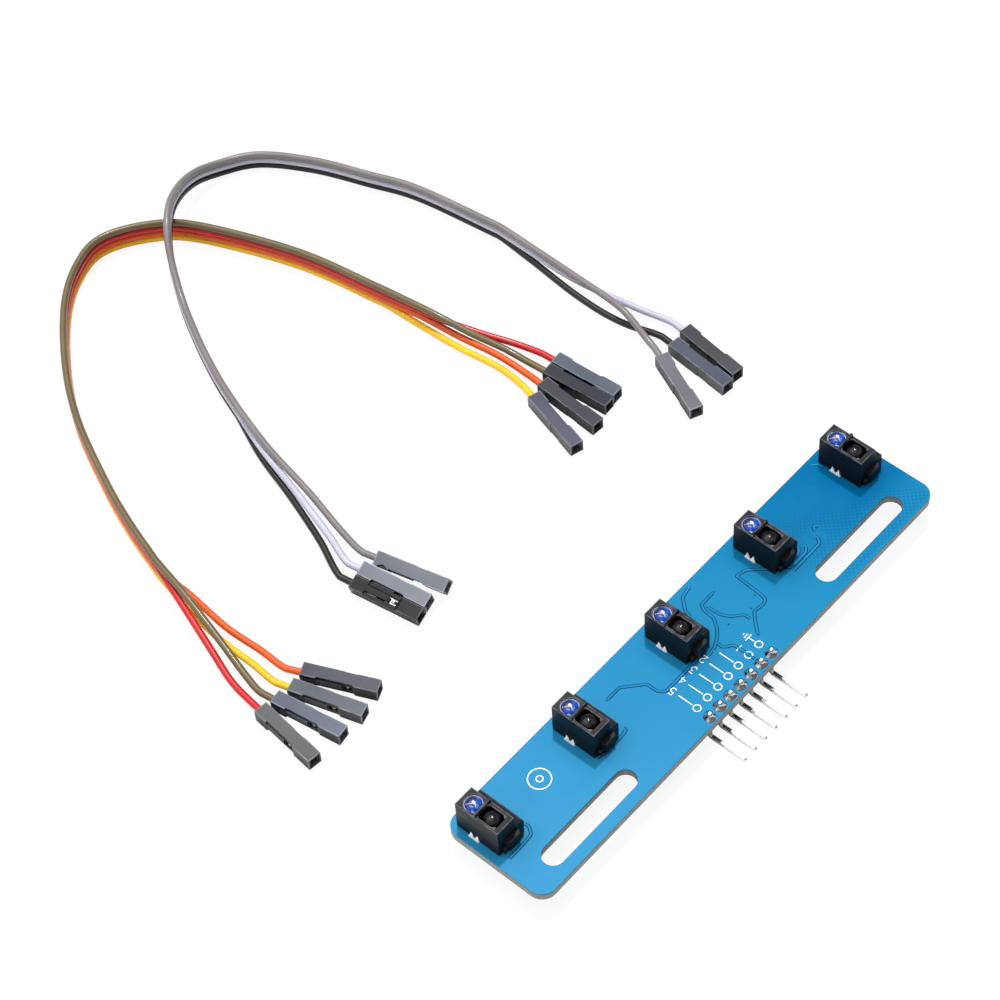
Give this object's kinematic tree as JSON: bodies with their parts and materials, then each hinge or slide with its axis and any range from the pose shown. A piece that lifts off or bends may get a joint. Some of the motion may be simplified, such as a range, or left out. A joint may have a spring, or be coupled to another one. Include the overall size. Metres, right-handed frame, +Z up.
{
  "type": "line tracking sensor kit",
  "caption": "Infrared line-tracking sensor bar with slotted circuit board, domed emitter and detector pairs, right-angle pin header and two ribbons of plug-ended jumper leads",
  "frame": {"origin": "centre of the circuit board's underside", "axes": "+X along the board, +Y from the pin header towards the sensors, +Z up through the sensors"},
  "size_m": [0.1051, 0.1531, 0.0125],
  "materials": {
    "board": "blue solder mask over glass-fibre laminate",
    "shell": "moulded black, satin",
    "emitter": "clear blue epoxy lens",
    "detector": "black daylight-blocking epoxy lens",
    "header": "moulded black",
    "tin": "bright tin plate and solder",
    "chip": "moulded black epoxy",
    "plug": "moulded black nylon, slight sheen",
    "yellow": "yellow PVC insulation",
    "orange": "orange PVC insulation",
    "red": "red PVC insulation",
    "brown": "brown PVC insulation",
    "black": "black PVC insulation",
    "white": "white PVC insulation",
    "grey": "grey PVC insulation"
  },
  "bodies": {
    "sensor_bar": {"circuit_board": "board", "sensor_shell_1": "shell", "sensor_shell_2": "shell", "sensor_shell_3": "shell", "sensor_shell_4": "shell", "sensor_shell_5": "shell", "ir_emitter_1": "emitter", "ir_emitter_2": "emitter", "ir_emitter_3": "emitter", "ir_emitter_4": "emitter", "ir_emitter_5": "emitter", "photo_detector_1": "detector", "photo_detector_2": "detector", "photo_detector_3": "detector", "photo_detector_4": "detector", "photo_detector_5": "detector", "header_base": "header", "header_pin_1": "tin", "header_pin_2": "tin", "header_pin_3": "tin", "header_pin_4": "tin", "header_pin_5": "tin", "header_pin_6": "tin", "header_pin_7": "tin", "signal_chip": "chip"},
    "four_wire_ribbon": {"yellow_wire": "yellow", "orange_wire": "orange", "red_wire": "red", "brown_wire": "brown"},
    "three_wire_ribbon": {"black_wire": "black", "white_wire": "white", "grey_wire": "grey"},
    "yellow_end_right": {"yellow_wire_end_right": "yellow", "yellow_plug_right": "plug"},
    "orange_end_right": {"orange_wire_end_right": "orange", "orange_plug_right": "plug"},
    "red_end_right": {"red_wire_end_right": "red", "red_plug_right": "plug"},
    "brown_end_right": {"brown_wire_end_right": "brown", "brown_plug_right": "plug"},
    "yellow_end_left": {"yellow_wire_end_left": "yellow", "yellow_plug_left": "plug"},
    "orange_end_left": {"orange_wire_end_left": "orange", "orange_plug_left": "plug"},
    "red_end_left": {"red_wire_end_left": "red", "red_plug_left": "plug"},
    "brown_end_left": {"brown_wire_end_left": "brown", "brown_plug_left": "plug"},
    "black_end_right": {"black_wire_end_right": "black", "black_plug_right": "plug"},
    "white_end_right": {"white_wire_end_right": "white", "white_plug_right": "plug"},
    "grey_end_right": {"grey_wire_end_right": "grey", "grey_plug_right": "plug"},
    "black_end_left": {"black_wire_end_left": "black", "black_plug_left": "plug"},
    "white_end_left": {"white_wire_end_left": "white", "white_plug_left": "plug"},
    "grey_end_left": {"grey_wire_end_left": "grey", "grey_plug_left": "plug"}
  },
  "joints": [
    {"name": "four_wire_ribbon_lift", "type": "slide", "parent": "sensor_bar", "child": "four_wire_ribbon", "axis": [0, 0, 1], "range_m": [0, 0.1]},
    {"name": "three_wire_ribbon_lift", "type": "slide", "parent": "four_wire_ribbon", "child": "three_wire_ribbon", "axis": [0, 0, 1], "range_m": [0, 0.05]},
    {"name": "yellow_bend_right", "type": "hinge", "parent": "four_wire_ribbon", "child": "yellow_end_right", "pos_m": [0.02554, 0.05795, -0.00263], "axis": [-0.9617, 0.274, 0], "range_deg": [0, 45]},
    {"name": "orange_bend_right", "type": "hinge", "parent": "four_wire_ribbon", "child": "orange_end_right", "pos_m": [0.02803, 0.05873, -0.00263], "axis": [-0.9976, 0.0698, 0], "range_deg": [0, 45]},
    {"name": "red_bend_right", "type": "hinge", "parent": "four_wire_ribbon", "child": "red_end_right", "pos_m": [0.03309, 0.06043, -0.00263], "axis": [-0.9981, -0.061, 0], "range_deg": [0, 45]},
    {"name": "brown_bend_right", "type": "hinge", "parent": "four_wire_ribbon", "child": "brown_end_right", "pos_m": [0.03029, 0.06007, -0.00263], "axis": [-0.9969, -0.0785, 0], "range_deg": [0, 45]},
    {"name": "yellow_bend_left", "type": "hinge", "parent": "four_wire_ribbon", "child": "yellow_end_left", "pos_m": [-0.04406, 0.04965, -0.00263], "axis": [-0.9563, -0.2924, 0], "range_deg": [0, 45]},
    {"name": "orange_bend_left", "type": "hinge", "parent": "four_wire_ribbon", "child": "orange_end_left", "pos_m": [-0.0411, 0.05021, -0.00263], "axis": [-0.9135, -0.4067, 0], "range_deg": [0, 45]},
    {"name": "red_bend_left", "type": "hinge", "parent": "four_wire_ribbon", "child": "red_end_left", "pos_m": [-0.04915, 0.05045, -0.00263], "axis": [-0.9945, 0.1045, 0], "range_deg": [0, 45]},
    {"name": "brown_bend_left", "type": "hinge", "parent": "four_wire_ribbon", "child": "brown_end_left", "pos_m": [-0.04692, 0.05009, -0.00263], "axis": [-0.9877, -0.1564, 0], "range_deg": [0, 45]},
    {"name": "black_bend_right", "type": "hinge", "parent": "three_wire_ribbon", "child": "black_end_right", "pos_m": [0.04865, 0.04715, -0.00263], "axis": [-0.9945, 0.1045, 0], "range_deg": [0, 45]},
    {"name": "white_bend_right", "type": "hinge", "parent": "three_wire_ribbon", "child": "white_end_right", "pos_m": [0.05222, 0.04741, -0.00263], "axis": [-0.9903, 0.1392, 0], "range_deg": [0, 45]},
    {"name": "grey_bend_right", "type": "hinge", "parent": "three_wire_ribbon", "child": "grey_end_right", "pos_m": [0.0459, 0.04661, -0.00263], "axis": [-0.9135, 0.4067, 0], "range_deg": [0, 45]},
    {"name": "black_bend_left", "type": "hinge", "parent": "three_wire_ribbon", "child": "black_end_left", "pos_m": [-0.02282, 0.05559, -0.00236], "axis": [-0.9583, -0.1518, -0.2419], "range_deg": [0, 45]},
    {"name": "white_bend_left", "type": "hinge", "parent": "three_wire_ribbon", "child": "white_end_left", "pos_m": [-0.02032, 0.05599, -0.00173], "axis": [-0.9583, -0.1518, -0.2419], "range_deg": [0, 45]},
    {"name": "grey_bend_left", "type": "hinge", "parent": "three_wire_ribbon", "child": "grey_end_left", "pos_m": [-0.01699, 0.05581, -0.00219], "axis": [-0.9732, -0.23, 0], "range_deg": [0, 45]}
  ]
}
